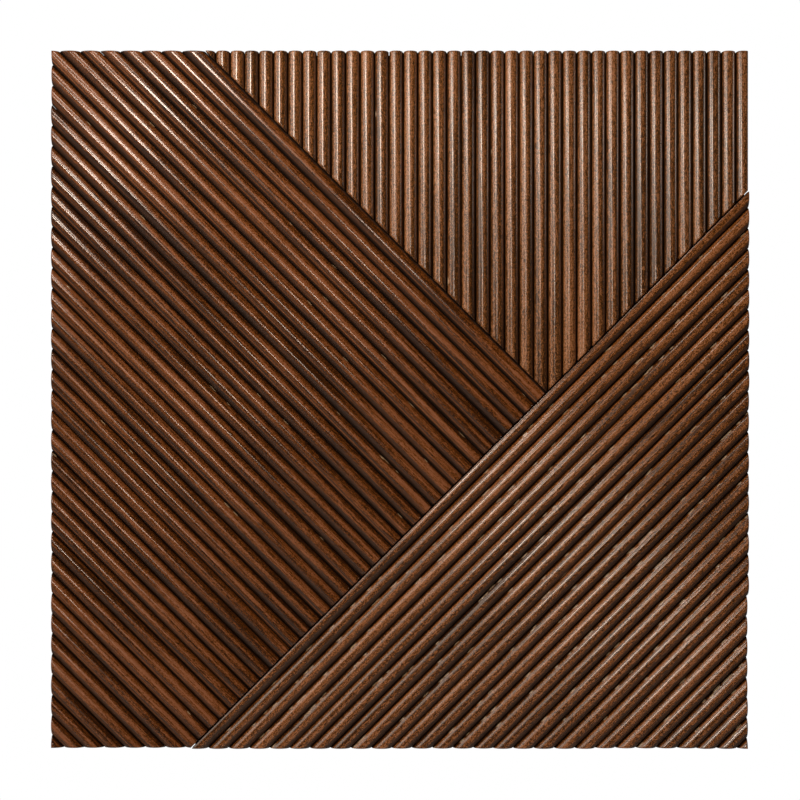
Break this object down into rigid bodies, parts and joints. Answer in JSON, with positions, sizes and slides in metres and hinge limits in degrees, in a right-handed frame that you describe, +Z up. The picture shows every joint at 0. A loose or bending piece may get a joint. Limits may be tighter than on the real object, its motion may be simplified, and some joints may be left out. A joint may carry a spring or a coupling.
{
  "type": "reeded wood wall panel",
  "caption": "Square decorative wall panel of dark stained wood, closed all over, with half-round reeds running upright, down to the right and up to the right in separate fields.",
  "frame": {"origin": "centre of the flat back face of the backing board", "axes": "+Z up as it hangs, +X to the viewer's right, the reeded front faces -Y and the back faces +Y"},
  "size_m": [0.6, 0.0163, 0.6],
  "materials": {
    "reeded_wood": "dark brown stain under a satin clear coat",
    "backing_wood": "black-brown stain, matt"
  },
  "bodies": {
    "root": {"backing_board": "backing_wood", "upright_board_1": "reeded_wood", "upright_board_2": "reeded_wood", "upright_board_3": "reeded_wood", "upright_board_4": "reeded_wood", "upright_board_5": "reeded_wood", "upright_board_6": "reeded_wood", "upright_board_7": "reeded_wood", "upright_board_8": "reeded_wood", "left_board_1": "reeded_wood", "left_board_2": "reeded_wood", "left_board_3": "reeded_wood", "left_board_4": "reeded_wood", "left_board_5": "reeded_wood", "left_board_6": "reeded_wood", "left_board_7": "reeded_wood", "left_board_8": "reeded_wood", "left_board_9": "reeded_wood", "right_board_1": "reeded_wood", "right_board_2": "reeded_wood", "right_board_3": "reeded_wood", "right_board_4": "reeded_wood", "right_board_5": "reeded_wood", "right_board_6": "reeded_wood"}
  },
  "joints": []
}
